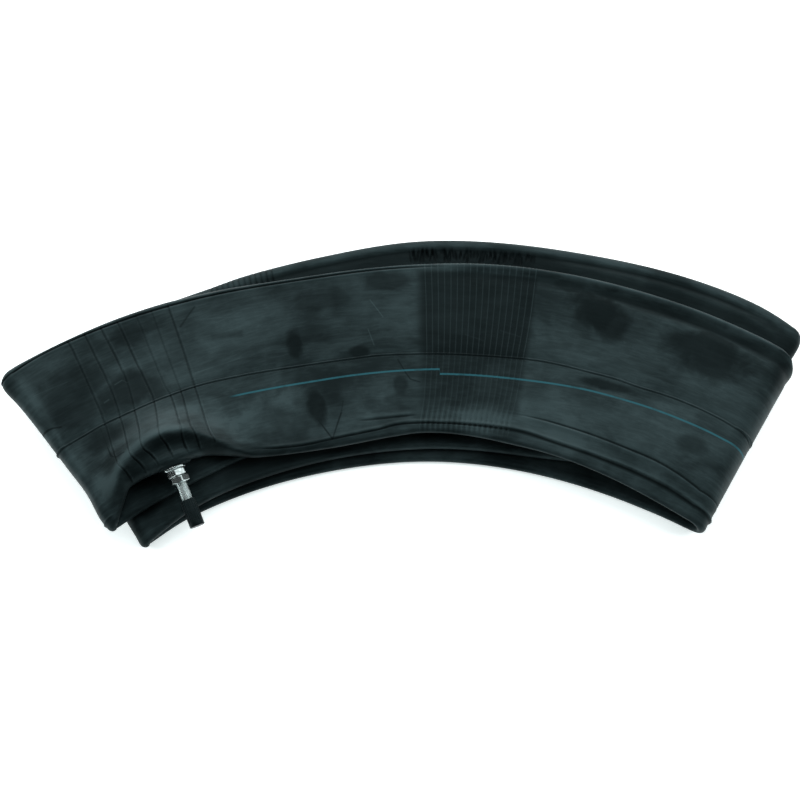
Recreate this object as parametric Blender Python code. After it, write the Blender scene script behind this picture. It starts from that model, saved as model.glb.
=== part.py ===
"""Motorcycle inner tube for a 21 inch front wheel, let down and folded flat into four layers, with its valve.

Metres, +Z up. The origin lies on the floor under the middle of the folded tube, +X runs along the folded
length and -Y is the hollow side of the banana shape, where the valve points out.

The tube is one closed ring. Starting on top it runs: layer 1 (top), round the right-hand end down to layer 4
(on the floor), round the left-hand end up to layer 3, round the right-hand end inside the first fold up to
layer 2, and round the left-hand end up to layer 1 again.
"""

import math

import bmesh
import bpy
from mathutils import Vector

# Flattened tube section.
WALL = 0.002
LAYER_HALF = 0.003
LAYER_PITCH = 0.0075
LAYER_HEIGHT = {n: LAYER_HALF + (4 - n) * LAYER_PITCH for n in (1, 2, 3, 4)}

# The folded plan is drawn in polar form: degrees clockwise from +Y, radii in metres, about this point.
PLAN_CENTRE = Vector((0.018, -0.385, 0.0))
FOLD_ANGLE = {"right": 28.85, "left_upper": -34.1, "left_lower": -31.6}

# Inner and outer edge of each layer, as (angle, radius) points that a smooth curve passes through.
INNER_EDGE = {
    1: [(-34.1, 0.3465), (-32.2, 0.357), (-30.5, 0.3632), (-26.3, 0.3603), (-22, 0.3595),
        (-18, 0.350), (-10, 0.3455), (1, 0.351), (10, 0.346), (29, 0.335)],
    2: [(-34.1, 0.3475), (-25, 0.352), (-19, 0.356), (0, 0.371), (20, 0.373), (29, 0.368)],
    3: [(-31.6, 0.3315), (-25, 0.3395), (-15, 0.3435), (0, 0.347), (14, 0.349), (29, 0.368)],
    4: [(-31.6, 0.3338), (-26, 0.3378), (-10, 0.3406), (2, 0.3416), (22, 0.3372), (29, 0.3366)],
}
OUTER_EDGE = {
    1: [(-34.1, 0.4786), (-25, 0.478), (-17.5, 0.475), (-10, 0.4718), (6, 0.4762), (20, 0.474), (29, 0.471)],
    2: [(-34.1, 0.4786), (-25, 0.4792), (-18, 0.4816), (-8, 0.4898), (0, 0.4969), (12, 0.4978), (20, 0.4989),
        (29, 0.492)],
    3: [(-31.6, 0.457), (-15, 0.468), (0, 0.471), (14, 0.475), (25, 0.488), (29, 0.492)],
    4: [(-31.6, 0.459), (0, 0.465), (29, 0.465)],
}

# The stiff valve root lifts and fattens the inner edge of layer 1.
LIFT_ANGLE = -26.3
LIFT_SPREAD_LEFT = 4.2
LIFT_SPREAD_RIGHT = 5.5
EDGE_LIFT = 0.0087
LIFT_DEPTH = 0.38
EDGE_FATTENING = 0.002
FATTENING_DEPTH = 0.35
CREST_FATTENING = 0.003
CREST_POSITION = 0.18
CREST_SPREAD = 0.10

# Pocket in that edge for the valve's pad, so that the lip stands level with the pad on both sides.
POCKET_DEPTH = 0.0050
POCKET_HALF_ANGLE = 2.0
POCKET_END_ANGLE = 2.6

# At the right-hand end the inner edge of layer 1 sags, because only layer 4 lies under it.
SAG = 0.007
SAG_START_ANGLE = 12.0
SAG_DEPTH = 0.20

# Mesh density of the tube.
LAYER_STEPS = 18
FOLD_STEPS = 5
HOLE_HALF_ANGLE = 0.4
MID_POSITIONS = (CREST_POSITION, 0.60)

# Valve: a straight metal stem with an 8 mm, 32 threads per inch outside thread.
SEAT = Vector((-0.1415, -0.0624, 0.033))
VALVE_AZIMUTH = math.radians(22.95)
VALVE_DIP = math.radians(19.2)
GAP = 0.0003
STEM_RADIUS = 0.00385
STEM_TIP = 0.0315
THREAD_CLEARANCE = 0.00035
BORE_SEAT = 0.0235
BORE_TAPER = 0.0006
BORE_NARROW = 0.00215
BORE_WIDE = 0.00275

PAD_THICKNESS = 0.0034
PAD_HALF_WIDTH = 0.0115
PAD_HALF_HEIGHT = 0.0064
FLANGE_RADIUS = 0.0050
FLANGE_THICKNESS = 0.0010
FLANGE_BACK = -0.0024

WASHER_RADIUS = 0.0067
WASHER_THICKNESS = 0.0016
WASHER_TEETH = 26
TOOTH_DEPTH = 0.0003

NUT_FLAT_HALF = 0.0060
NUT_THICKNESS = 0.0042
NUT_FACE_INSET = 0.0001
NUT_CHAMFER = math.radians(30)
NUT_INNER_TURN = math.radians(11)
NUT_OUTER_TURN = math.radians(-10)
NUT_INNER_BASE = GAP + WASHER_THICKNESS + GAP
NUT_OUTER_BASE = NUT_INNER_BASE + NUT_THICKNESS + GAP

CAP_MOUTH = 0.0222
CAP_LENGTH = 0.0178
CAP_RADIUS = 0.00485
CAP_RIBS = 20
RIB_HEIGHT = 0.0003
CAP_MOUTH_BEVEL = 0.0008
CAP_BAND = 0.0035
CAP_BAND_BEVEL = 0.0004
CAP_BORE_END = 0.0335
GASKET_THICKNESS = 0.0014

PIN_RADIUS = 0.0005
COLLAR_RADIUS = 0.00112
BARREL_INNER = 0.00145
BARREL_OUTER = 0.0018
BARREL_FOOT = 0.0160
BARREL_TOP = 0.0258
BARREL_SHOULDER = 0.0010
PLUG_RADIUS = 0.0024
PLUG_TOP = 0.0311
PLUG_FLAT_HALF = 0.0015
PLUG_FLAT_BASE = 0.0293
PIN_HOLE = 0.00083
SPRING_RADIUS = 0.00097
SPRING_WIRE = 0.00014
SPRING_TURNS = 6
COLLAR_BASE = 0.0240
COLLAR_THICKNESS = 0.0006
PIN_BELOW_BARREL = 0.0026
PIN_ABOVE_PLUG = 0.0001
PIN_ROUND = 12
CUP_RADIUS = 0.0016
CUP_FOOT_RADIUS = 0.0012
CUP_HEIGHT = 0.0015
CUP_RIM = 0.0008

ROUND = 24
SMALL_ROUND = 16


def clear_scene():
    for obj in list(bpy.data.objects):
        bpy.data.objects.remove(obj, do_unlink=True)


def make_material(name, colour, roughness, metallic):
    material = bpy.data.materials.new(name)
    material.use_nodes = True
    shader = material.node_tree.nodes["Principled BSDF"]
    shader.inputs["Base Color"].default_value = (*colour, 1.0)
    shader.inputs["Roughness"].default_value = roughness
    shader.inputs["Metallic"].default_value = metallic
    material.diffuse_color = (*colour, 1.0)
    return material


def gauss(x):
    return math.exp(-x * x)


def smoothstep(x):
    x = min(1.0, max(0.0, x))
    return x * x * (3 - 2 * x)


def through_points(points, x):
    """Cubic curve through (x, y) points, with slopes taken from each point's neighbours."""
    x = min(points[-1][0], max(points[0][0], x))
    i = max(k for k in range(len(points) - 1) if points[k][0] <= x)

    def slope(k):
        before, after = points[max(0, k - 1)], points[min(len(points) - 1, k + 1)]
        return (after[1] - before[1]) / (after[0] - before[0])

    (x0, y0), (x1, y1) = points[i], points[i + 1]
    span = x1 - x0
    t = (x - x0) / span
    return (
        y0 * (1 + 2 * t) * (1 - t) ** 2
        + y1 * t * t * (3 - 2 * t)
        + span * slope(i) * t * (1 - t) ** 2
        - span * slope(i + 1) * t * t * (1 - t)
    )


def inner_edge(layer, angle):
    """Radius of a layer's inner edge, with the pocket for the valve's pad."""
    radius = through_points(INNER_EDGE[layer], angle)
    if layer == 1:
        beside = abs(angle - LIFT_ANGLE) - POCKET_HALF_ANGLE
        radius += POCKET_DEPTH * (1 - smoothstep(beside / (POCKET_END_ANGLE - POCKET_HALF_ANGLE)))
    return radius


def outer_edge(layer, angle):
    return through_points(OUTER_EDGE[layer], angle)


def valve_lift(angle):
    spread = LIFT_SPREAD_LEFT if angle < LIFT_ANGLE else LIFT_SPREAD_RIGHT
    return gauss((angle - LIFT_ANGLE) / spread)


def layer_height(layer, angle, across):
    """Height of a layer's middle surface; across is 0 on the inner edge and 1 on the outer edge."""
    height = LAYER_HEIGHT[layer]
    if layer == 1:
        height += EDGE_LIFT * valve_lift(angle) * gauss(across / LIFT_DEPTH)
        sag_along = smoothstep((angle - SAG_START_ANGLE) / (FOLD_ANGLE["right"] - SAG_START_ANGLE))
        height -= SAG * sag_along * (1 - smoothstep(across / SAG_DEPTH))
    return height


def layer_half(layer, angle, across):
    """Half of a layer's thickness."""
    half = LAYER_HALF
    if layer == 1:
        half += EDGE_FATTENING * valve_lift(angle) * gauss(across / FATTENING_DEPTH)
        half += CREST_FATTENING * valve_lift(angle) * gauss((across - CREST_POSITION) / CREST_SPREAD)
    return half


def section_points(inner, outer, half_at, inset):
    """Outline of the flattened section as (radius, offset) pairs, from the inner edge over the front face to
    the outer edge and back over the other face. inset draws the same outline that far inside the wall."""
    bend_angles = (0, 50, 90)
    front = []
    half = half_at(0.0)
    for degrees in bend_angles:
        turn = math.radians(degrees)
        front.append((inner + half - (half - inset) * math.cos(turn), (half - inset) * math.sin(turn)))
    for across in MID_POSITIONS:
        front.append((inner + across * (outer - inner), half_at(across) - inset))
    half = half_at(1.0)
    for degrees in reversed(bend_angles):
        turn = math.radians(degrees)
        front.append((outer - half + (half - inset) * math.cos(turn), (half - inset) * math.sin(turn)))
    back = [(radius, -offset) for radius, offset in reversed(front[1:-1])]
    return front + back


def layer_ring(layer, angle, inset):
    """One cross-section of a layer, as world points."""
    radians = math.radians(angle)
    outward = Vector((math.sin(radians), math.cos(radians), 0))
    inner, outer = inner_edge(layer, angle), outer_edge(layer, angle)
    facing = 1 if layer in (1, 3) else -1

    def half_at(across):
        return layer_half(layer, angle, across)

    ring = []
    for radius, offset in section_points(inner, outer, half_at, inset):
        across = (radius - inner) / (outer - inner)
        height = layer_height(layer, angle, across) + facing * offset
        ring.append(PLAN_CENTRE + outward * radius + Vector((0, 0, height)))
    return ring


def fold_ring(start_layer, end_layer, side, turn, inset):
    """One cross-section part of the way round the fold between two layers; turn runs from 0 to pi."""
    angle = FOLD_ANGLE[side]
    away = 1 if side == "right" else -1
    radians = math.radians(angle)
    outward = Vector((math.sin(radians), math.cos(radians), 0))
    along = Vector((math.cos(radians), -math.sin(radians), 0))
    up = Vector((0, 0, 1))
    part = (1 - math.cos(turn)) / 2

    inner = (1 - part) * inner_edge(start_layer, angle) + part * inner_edge(end_layer, angle)
    outer = (1 - part) * outer_edge(start_layer, angle) + part * outer_edge(end_layer, angle)
    reach = away * abs(LAYER_HEIGHT[start_layer] - LAYER_HEIGHT[end_layer]) / 2 * math.sin(turn)

    def half_at(across):
        return LAYER_HALF

    ring = []
    for radius, offset in section_points(inner, outer, half_at, inset):
        across = (radius - inner) / (outer - inner)
        start = layer_height(start_layer, angle, across)
        end = layer_height(end_layer, angle, across)
        bend = (start - end) / 2
        rise = (start + end) / 2 + bend * math.cos(turn)
        normal = away * math.cos(turn) * up + math.copysign(math.sin(turn), bend) * along
        centre = PLAN_CENTRE + outward * radius + along * reach + up * rise
        ring.append(centre + normal * offset)
    return ring


def layer_angles(layer):
    left = FOLD_ANGLE["left_upper" if layer in (1, 2) else "left_lower"]
    right = FOLD_ANGLE["right"]
    angles = [left + (right - left) * k / LAYER_STEPS for k in range(LAYER_STEPS + 1)]
    if layer == 1:
        angles = [a for a in angles if abs(a - LIFT_ANGLE) > POCKET_END_ANGLE + HOLE_HALF_ANGLE]
        steps = (0, HOLE_HALF_ANGLE, POCKET_HALF_ANGLE, POCKET_END_ANGLE)
        angles += {LIFT_ANGLE + sign * step for step in steps for sign in (-1, 1)}
    return sorted(angles)


def tube_rings(inset):
    """All cross-sections round the ring, in order, starting at the left-hand end of layer 1."""
    rings = []
    route = [(1, 4, "right"), (4, 3, "left_lower"), (3, 2, "right"), (2, 1, "left_upper")]
    for layer, following, side in route:
        angles = layer_angles(layer)
        if layer in (4, 2):
            angles.reverse()
        rings += [layer_ring(layer, angle, inset) for angle in angles]
        turns = [math.pi * k / FOLD_STEPS for k in range(1, FOLD_STEPS)]
        rings += [fold_ring(layer, following, side, turn, inset) for turn in turns]
    return rings


def new_object(name, bm, material, parent=None):
    bmesh.ops.recalc_face_normals(bm, faces=bm.faces)
    mesh = bpy.data.meshes.new(name)
    bm.to_mesh(mesh)
    bm.free()
    mesh.materials.append(material)
    mesh.shade_smooth()
    mesh.set_sharp_from_angle(angle=math.radians(35))
    obj = bpy.data.objects.new(name, mesh)
    bpy.context.collection.objects.link(obj)
    obj.parent = parent
    return obj


def skin(bm, rings, closed, skip=()):
    """Faces between neighbouring rings of points. closed joins the last ring to the first; otherwise both
    ends get a flat face. skip holds (ring, point) indices of faces to leave out. Returns the vertices."""
    rows = [[bm.verts.new(point) for point in ring] for ring in rings]
    count = len(rows[0])
    for i in range(len(rows) if closed else len(rows) - 1):
        row, following = rows[i], rows[(i + 1) % len(rows)]
        for j in range(count):
            if (i, j) not in skip:
                k = (j + 1) % count
                bm.faces.new((row[j], row[k], following[k], following[j]))
    if not closed:
        bm.faces.new(rows[0])
        bm.faces.new(rows[-1])
    return rows


def make_tube_body(material):
    """The rubber ring: an outer and an inner skin, joined round the air hole under the valve."""
    bm = bmesh.new()
    centre = layer_angles(1).index(LIFT_ANGLE)
    outer_rings = tube_rings(0.0)
    last = len(outer_rings[0]) - 1
    hole = [(centre - 1, 0), (centre, 0), (centre - 1, last), (centre, last)]
    outer = skin(bm, outer_rings, closed=True, skip=hole)
    inner = skin(bm, tube_rings(WALL), closed=True, skip=hole)
    rim = [(-1, 0), (-1, 1), (0, 1), (1, 1), (1, 0), (1, -1), (0, -1), (-1, -1)]
    for (i, j), (k, m) in zip(rim, rim[1:] + rim[:1]):
        near, far = outer[centre + i][j], outer[centre + k][m]
        bm.faces.new((near, far, inner[centre + k][m], inner[centre + i][j]))
    for rows in (outer, inner):
        bm.verts.remove(rows[centre][0])
    return new_object("tube_body", bm, material)


def circle(radius, height, count=ROUND):
    """Ring of points about the local Z axis; radius may be a number or a function of the angle."""
    ring = []
    for k in range(count):
        theta = 2 * math.pi * k / count
        r = radius(theta) if callable(radius) else radius
        ring.append(Vector((r * math.cos(theta), r * math.sin(theta), height)))
    return ring


def turned(name, profile, material, parent, count=ROUND, closed=True):
    """Solid turned about the local Z axis from (radius, height) points; closed has a hole right through."""
    bm = bmesh.new()
    skin(bm, [circle(radius, height, count) for radius, height in profile], closed)
    return new_object(name, bm, material, parent)


def make_valve_axis():
    """Empty whose Z axis is the valve's axis, at the outer face of the rubber pad."""
    empty = bpy.data.objects.new("valve_axis", None)
    bpy.context.collection.objects.link(empty)
    empty.location = SEAT
    empty.rotation_euler = (math.pi / 2 + VALVE_DIP, 0, VALVE_AZIMUTH)
    return empty


def make_valve_base_pad(material, parent):
    """Oval rubber pad moulded round the stem's flange, with an inside groove that holds the flange."""
    hole = STEM_RADIUS + THREAD_CLEARANCE
    groove = FLANGE_RADIUS + THREAD_CLEARANCE
    rim_back, rim_front = -PAD_THICKNESS, 0.0
    edge = 0.0008
    stretch = PAD_HALF_WIDTH / PAD_HALF_HEIGHT

    def oval(half_height):
        return lambda theta: half_height * stretch / math.hypot(math.cos(theta), stretch * math.sin(theta))

    profile = [
        (hole, rim_front),
        (oval(PAD_HALF_HEIGHT - edge), rim_front),
        (oval(PAD_HALF_HEIGHT), rim_front - edge),
        (oval(PAD_HALF_HEIGHT), rim_back + edge),
        (oval(PAD_HALF_HEIGHT - edge), rim_back),
        (hole, rim_back),
        (hole, FLANGE_BACK - GAP),
        (groove, FLANGE_BACK - GAP),
        (groove, FLANGE_BACK + FLANGE_THICKNESS + GAP),
        (hole, FLANGE_BACK + FLANGE_THICKNESS + GAP),
    ]
    return turned("valve_base_pad", profile, material, parent)


def make_valve_stem(material, parent):
    """Stem with its root flange, a bore for the core that narrows at a seat, and a chamfered tip."""
    chamfer = 0.0005
    profile = [
        (BORE_NARROW, -PAD_THICKNESS),
        (STEM_RADIUS, -PAD_THICKNESS),
        (STEM_RADIUS, FLANGE_BACK),
        (FLANGE_RADIUS, FLANGE_BACK),
        (FLANGE_RADIUS, FLANGE_BACK + FLANGE_THICKNESS),
        (STEM_RADIUS, FLANGE_BACK + FLANGE_THICKNESS),
        (STEM_RADIUS, STEM_TIP - chamfer),
        (STEM_RADIUS - chamfer, STEM_TIP),
        (BORE_WIDE, STEM_TIP),
        (BORE_WIDE, BORE_SEAT),
        (BORE_NARROW, BORE_SEAT - BORE_TAPER),
    ]
    return turned("valve_stem", profile, material, parent)


def make_clamp_washer(material, parent):
    """Round washer with a serrated rim, pressed on the pad by the nuts."""
    points_per_tooth = 2
    root = WASHER_RADIUS - TOOTH_DEPTH

    def rim(theta):
        return root + TOOTH_DEPTH * (0.5 + 0.5 * math.cos(WASHER_TEETH * theta))

    hole = STEM_RADIUS + THREAD_CLEARANCE
    top = GAP + WASHER_THICKNESS
    profile = [
        (hole, GAP),
        (root, GAP),
        (rim, GAP + TOOTH_DEPTH),
        (rim, top - TOOTH_DEPTH),
        (root, top),
        (hole, top),
    ]
    return turned("clamp_washer", profile, material, parent, count=WASHER_TEETH * points_per_tooth)


def hexagon(theta):
    """Distance from the nut's middle to its outline."""
    sixth = math.pi / 3
    return NUT_FLAT_HALF / math.cos((theta + sixth / 2) % sixth - sixth / 2)


def make_nut(name, base, turn, material, parent):
    """Hexagon nut with both faces chamfered by a cone."""
    hole = STEM_RADIUS + THREAD_CLEARANCE
    face_radius = NUT_FLAT_HALF - NUT_FACE_INSET
    slope = math.tan(NUT_CHAMFER)

    def corner_ring(level, direction):
        ring = circle(hexagon, level)
        for point in ring:
            point.z += direction * (point.xy.length - face_radius) * slope
        return ring

    top = base + NUT_THICKNESS
    rings = [
        circle(hole, base),
        circle(face_radius, base),
        corner_ring(base, 1),
        corner_ring(top, -1),
        circle(face_radius, top),
        circle(hole, top),
    ]
    bm = bmesh.new()
    skin(bm, rings, closed=True)
    nut = new_object(name, bm, material, parent)
    nut.rotation_euler = (0, 0, turn)
    return nut


def make_valve_cap(material, parent):
    """Long plastic cap with a ribbed grip and a plain band at its closed end."""
    points_per_rib = 2
    root = CAP_RADIUS - RIB_HEIGHT
    end = CAP_MOUTH + CAP_LENGTH
    band = end - CAP_BAND
    bore = STEM_RADIUS + THREAD_CLEARANCE

    def ribs(theta):
        return root + RIB_HEIGHT * (0.5 + 0.5 * math.cos(CAP_RIBS * theta))

    profile = [
        (bore, CAP_BORE_END),
        (bore, CAP_MOUTH),
        (root, CAP_MOUTH),
        (ribs, CAP_MOUTH + CAP_MOUTH_BEVEL),
        (ribs, band - CAP_BAND_BEVEL),
        (CAP_RADIUS, band),
        (CAP_RADIUS, end - CAP_BAND_BEVEL),
        (CAP_RADIUS - CAP_BAND_BEVEL, end),
    ]
    count = CAP_RIBS * points_per_rib
    return turned("valve_cap", profile, material, parent, count, closed=False)


def make_cap_gasket(material, parent):
    """Soft disc at the bottom of the cap that seals on the stem's tip."""
    base = STEM_TIP + GAP
    profile = [(STEM_RADIUS, base), (STEM_RADIUS, base + GASKET_THICKNESS)]
    return turned("cap_gasket", profile, material, parent, closed=False)


def make_core_plug(material, parent):
    """Screwed head of the core; its top is cut to two flats for the core key."""
    base = BARREL_TOP + GAP

    def two_flats(theta):
        return min(PLUG_RADIUS, PLUG_FLAT_HALF / max(1e-6, abs(math.sin(theta))))

    profile = [
        (PIN_HOLE, base),
        (PLUG_RADIUS, base),
        (PLUG_RADIUS, PLUG_FLAT_BASE),
        (two_flats, PLUG_FLAT_BASE),
        (two_flats, PLUG_TOP),
        (PIN_HOLE, PLUG_TOP),
    ]
    return turned("core_plug", profile, material, parent)


def make_core_barrel(material, parent):
    """Sleeve that carries the spring; its foot is the seat of the pin's seal."""
    shoulder = BARREL_FOOT + BARREL_SHOULDER
    profile = [
        (PIN_HOLE, BARREL_FOOT),
        (BARREL_OUTER, BARREL_FOOT),
        (BARREL_OUTER, BARREL_TOP),
        (BARREL_INNER, BARREL_TOP),
        (BARREL_INNER, shoulder),
        (PIN_HOLE, shoulder),
    ]
    return turned("core_barrel", profile, material, parent, count=SMALL_ROUND)


def make_core_gasket(material, parent):
    """Tapered seal between the barrel and the seat in the stem's bore."""
    inner = BARREL_OUTER + GAP
    outer = BORE_WIDE - GAP
    base = BORE_SEAT + GAP
    taper = 0.00015
    length = 0.0014
    profile = [(inner, base), (outer - taper, base), (outer, base + length), (inner, base + length)]
    return turned("core_gasket", profile, material, parent, count=SMALL_ROUND)


def make_core_pin(material, parent):
    """Plunger: a thin rod with a collar that the spring pushes on."""
    foot = BARREL_FOOT - PIN_BELOW_BARREL
    tip = PLUG_TOP + PIN_ABOVE_PLUG
    collar_top = COLLAR_BASE + COLLAR_THICKNESS
    profile = [
        (PIN_RADIUS, foot),
        (PIN_RADIUS, COLLAR_BASE),
        (COLLAR_RADIUS, COLLAR_BASE),
        (COLLAR_RADIUS, collar_top),
        (PIN_RADIUS, collar_top),
        (PIN_RADIUS, tip),
    ]
    return turned("core_pin", profile, material, parent, count=PIN_ROUND, closed=False)


def make_core_seal_cup(material, parent):
    """Rubber-faced cup on the pin's foot that shuts the barrel."""
    top = BARREL_FOOT - GAP
    hole = PIN_RADIUS + GAP
    profile = [
        (hole, top - CUP_HEIGHT),
        (CUP_FOOT_RADIUS, top - CUP_HEIGHT),
        (CUP_RADIUS, top - CUP_RIM),
        (CUP_RADIUS, top),
        (hole, top),
    ]
    return turned("core_seal_cup", profile, material, parent, count=SMALL_ROUND)


def make_core_spring(material, parent):
    """Compression spring round the pin, between the barrel's shoulder and the pin's collar."""
    wire_sides = 6
    steps_per_turn = 10
    start = BARREL_FOOT + BARREL_SHOULDER + GAP + SPRING_WIRE
    length = COLLAR_BASE - GAP - SPRING_WIRE - start
    rings = []
    steps = SPRING_TURNS * steps_per_turn
    for k in range(steps + 1):
        theta = 2 * math.pi * k / steps_per_turn
        outward = Vector((math.cos(theta), math.sin(theta), 0))
        centre = outward * SPRING_RADIUS + Vector((0, 0, start + length * k / steps))
        ring = []
        for side in range(wire_sides):
            around = 2 * math.pi * side / wire_sides
            offset = outward * math.cos(around) + Vector((0, 0, math.sin(around)))
            ring.append(centre + offset * SPRING_WIRE)
        rings.append(ring)
    bm = bmesh.new()
    skin(bm, rings, closed=False)
    return new_object("core_spring", bm, material, parent)


def main():
    clear_scene()
    butyl = make_material("butyl_rubber", (0.020, 0.034, 0.036), 0.5, 0.0)
    pad_rubber = make_material("pad_rubber", (0.018, 0.028, 0.030), 0.6, 0.0)
    soft_seal = make_material("seal_rubber", (0.020, 0.020, 0.022), 0.7, 0.0)
    plated = make_material("nickel_plate", (0.62, 0.68, 0.68), 0.28, 1.0)
    brass = make_material("core_brass", (0.72, 0.55, 0.25), 0.35, 1.0)
    steel = make_material("spring_steel", (0.55, 0.56, 0.58), 0.3, 1.0)
    plastic = make_material("cap_plastic", (0.010, 0.012, 0.013), 0.42, 0.0)

    make_tube_body(butyl)
    axis = make_valve_axis()
    make_valve_base_pad(pad_rubber, axis)
    make_valve_stem(plated, axis)
    make_clamp_washer(plated, axis)
    make_nut("hex_nut_inner", NUT_INNER_BASE, NUT_INNER_TURN, plated, axis)
    make_nut("hex_nut_outer", NUT_OUTER_BASE, NUT_OUTER_TURN, plated, axis)
    make_core_plug(brass, axis)
    make_core_barrel(brass, axis)
    make_core_gasket(soft_seal, axis)
    make_core_pin(brass, axis)
    make_core_seal_cup(soft_seal, axis)
    make_core_spring(steel, axis)
    make_valve_cap(plastic, axis)
    make_cap_gasket(soft_seal, axis)


main()
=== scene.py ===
"""Studio scene of a motorcycle inner tube, let down and folded flat, with its metal valve.

Metres, +Z up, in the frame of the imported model. The folded plan is drawn in polar form about PLAN_CENTRE:
angles in degrees clockwise from +Y, radii in metres. Layer 1 lies on top and layer 4 on the floor.
"""

import math
import random

import bmesh
import bpy
import numpy as np
from mathutils import Euler, Matrix, Vector


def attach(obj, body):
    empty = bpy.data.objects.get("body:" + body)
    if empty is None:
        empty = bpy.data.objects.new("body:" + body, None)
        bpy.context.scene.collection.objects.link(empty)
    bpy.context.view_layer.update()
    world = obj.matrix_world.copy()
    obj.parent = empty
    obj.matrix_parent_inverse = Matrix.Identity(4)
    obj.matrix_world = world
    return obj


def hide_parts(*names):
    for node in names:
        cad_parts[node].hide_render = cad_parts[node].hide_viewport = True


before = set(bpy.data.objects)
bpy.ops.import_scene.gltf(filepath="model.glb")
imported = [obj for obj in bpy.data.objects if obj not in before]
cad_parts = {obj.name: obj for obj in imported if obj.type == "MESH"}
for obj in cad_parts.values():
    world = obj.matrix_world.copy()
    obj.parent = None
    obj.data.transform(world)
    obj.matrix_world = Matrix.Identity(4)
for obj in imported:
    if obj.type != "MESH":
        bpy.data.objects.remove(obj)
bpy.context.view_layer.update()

MM = 0.001

# Folded tube: edges of each layer as (angle, radius in mm).
PLAN_CENTRE = np.array((0.018, -0.385))
MEAN_RADIUS = 0.41
ARC_PER_DEGREE = math.radians(1) * 425
LAYER_HALF = 0.003
LAYER_HEIGHT = {1: 0.0255, 2: 0.018, 3: 0.0105, 4: 0.003}
RIGHT_FOLD = 28.85
LEFT_FOLD = {1: -34.1, 2: -34.1, 3: -31.6, 4: -31.6}
INNER_EDGE = {
    1: [(-34.1, 346.5), (-32.2, 357.0), (-30.5, 363.2), (-26.3, 360.3), (-22, 359.5), (-18, 350.0),
        (-10, 345.5), (1, 351.0), (10, 346.0), (29, 335.0)],
    2: [(-34.1, 347.5), (-25, 352.0), (-19, 356.0), (0, 371.0), (20, 373.0), (29, 368.0)],
    3: [(-31.6, 331.5), (-25, 339.5), (-15, 343.5), (0, 347.0), (14, 349.0), (29, 368.0)],
    4: [(-31.6, 333.8), (-26, 337.8), (-10, 340.6), (2, 341.6), (22, 337.2), (29, 336.6)],
}
OUTER_EDGE = {
    1: [(-34.1, 478.6), (-30, 478.3), (-25, 478.0), (-21.5, 476.9), (-17.5, 475.0), (-10, 471.8), (6, 476.2),
        (20, 474.0), (29, 471.0)],
    2: [(-34.1, 478.6), (-25, 479.2), (-18, 481.6), (-14.5, 484.9), (-11, 487.4), (-8, 489.8), (0, 496.9),
        (12, 497.8), (20, 498.9), (25.5, 497.5), (29, 493.0)],
    3: [(-31.6, 457.0), (-15, 468.0), (0, 471.0), (14, 475.0), (25, 489.0), (29, 493.0)],
    4: [(-31.6, 459.0), (0, 465.0), (29, 465.0)],
}
# Corners of the folded ends, in mm: how far the outer edge draws in before each fold, over what length; and
# how much further the (inner, outer) edge draws in on the fold itself (under 0: it stands out there).
OUTER_CORNER = {"left": (0.3, 7.0), "right": (0.5, 12.0)}
FOLD_DRAW = {"left": (-2.0, 0.3), "right": (-1.2, 1.0)}
# How much further than a plain half round each fold stands out, as (radius, mm) points.
FOLD_SWELL = {
    (1, 4): [(330, 5.6), (334, 4.8), (337, 2.8), (341, 0.2), (346, -0.7), (352, -0.9), (380, -1.1),
        (420, -1.2), (452, -0.9), (466, 0.6), (473, 0.2)],
    (4, 3): [(329, 2.2), (334, 1.6), (342, 0.2), (459, 0.0)],
    (3, 2): [(368, 0.0), (455, 0.4), (478, 2.4), (493, 2.2)],
    (2, 1): [(346, 0.8), (360, -0.6), (378, -1.9), (400, -0.9), (430, 0.0), (455, 1.6), (469, 3.6),
        (478, 3.2)],
}

# Moulding lines of the top layer, as (angle, radius in mm).
MID_LINE = [
    (-33.84, 410.2), (-32.1, 410.3), (-30.2, 410.4), (-27.5, 409.3), (-24.1, 409.7), (-20.8, 410.3),
    (-17.1, 408.7), (-15.0, 407.6), (-11.6, 406.1), (-7.1, 406.0), (-4.6, 406.9), (1.0, 406.8), (4.7, 406.9),
    (7.8, 407.5), (10.1, 408.1), (12.4, 407.6), (14.9, 406.8), (17.4, 406.6), (19.5, 405.6), (22.1, 406.0),
    (24.4, 405.8), (26.9, 404.9), (28.8, 403.5), (31.1, 400.5),
]
INNER_LINE = [
    (-34.1, 351.5), (-30.5, 369.0), (-26.3, 365.8), (-22, 364.5), (-18, 354.5), (-13.5, 349.6), (-10, 350.0),
    (-5.5, 352.6), (-2.9, 355.8), (1.2, 356.2), (9.4, 355.2), (13.3, 351.8), (18.05, 349.7), (22.0, 348.6),
    (26.1, 346.9), (29.4, 343.4), (31.4, 339.6),
]
OUTER_LINE = [
    (-34.1, 474.2), (-31.6, 475.6), (-26.4, 474.6), (-19.2, 471.8), (-10, 468.6), (-0.3, 471.2), (10, 471.0),
    (20, 470.0), (29, 467.0),
]
FLEX_LINE = [
    (-34.1, 371.0), (-32.0, 377.0), (-30.3, 382.0), (-27.5, 384.0), (-25.0, 383.0), (-21.0, 373.0),
    (-16.0, 363.0), (-6.8, 360.4), (-1.4, 361.8), (4.0, 365.4), (9.2, 366.6), (14.7, 364.0), (20.4, 360.9),
    (24.3, 358.9), (28.6, 353.7), (31.0, 348.2),
]
# The printed line, which steps in at the splice.
INK_LINE = [(-18.6, 395.4), (-11.5, 393.2), (-7.0, 393.6), (-2.6, 394.5), (1.1, 395.2)]
INK_LINE_AFTER_SPLICE = [
    (1.1, 391.7), (8.8, 392.2), (14.8, 393.4), (18.0, 393.3), (22.0, 393.2), (26.7, 392.6), (28.8, 391.9),
    (31.1, 392.0),
]
SPLICE_ANGLE = 1.1
INK_START = (-18.9, -17.6)
INK_HALF_WIDTH = (0.30, 0.95)

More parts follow.
